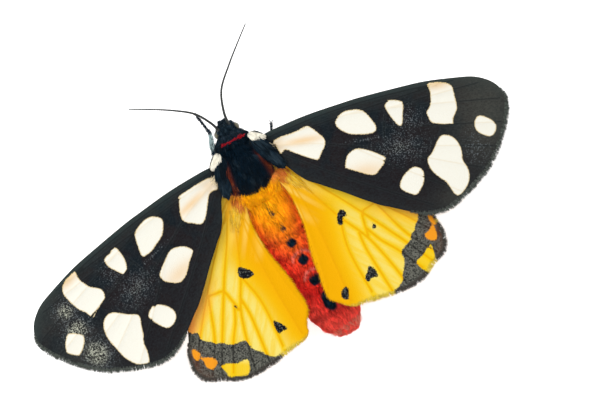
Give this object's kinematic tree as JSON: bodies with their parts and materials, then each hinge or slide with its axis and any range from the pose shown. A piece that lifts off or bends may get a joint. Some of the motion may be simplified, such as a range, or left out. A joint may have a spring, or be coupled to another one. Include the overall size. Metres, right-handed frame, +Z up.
{
  "type": "tiger moth",
  "caption": "Life-size still model of a black, cream, yellow and red tiger moth standing on six legs with its wings spread flat.",
  "frame": {"origin": "centre of the bounding box's footprint, at the floor that the feet stand on", "axes": "+Z up, +X towards the moth's left wing tip, -Y the way its head faces"},
  "size_m": [0.0564, 0.0352, 0.0101],
  "materials": {
    "black_fur": "dense matt fur",
    "black_shell": "dark satin shell with fine scales",
    "eye": "glossy faceted eye",
    "red_fur": "short red and yellow fur",
    "black_wing": "matt scales with cream spots",
    "yellow_wing": "matt scales with black markings"
  },
  "bodies": {
    "root": {"head": "black_fur", "collar": "black_fur", "thorax": "black_fur", "tegula_left": "black_fur", "tegula_right": "black_fur", "abdomen": "red_fur", "eye_left": "eye", "eye_right": "eye", "palp_left": "black_fur", "palp_right": "black_fur", "antenna_left": "black_shell", "antenna_right": "black_shell", "forewing_left": "black_wing", "forewing_right": "black_wing", "hindwing_left": "yellow_wing", "hindwing_right": "yellow_wing", "leg_fore_left": "black_fur", "leg_fore_right": "black_fur", "leg_mid_left": "black_fur", "leg_mid_right": "black_fur", "leg_hind_left": "black_fur", "leg_hind_right": "black_fur"}
  },
  "joints": []
}
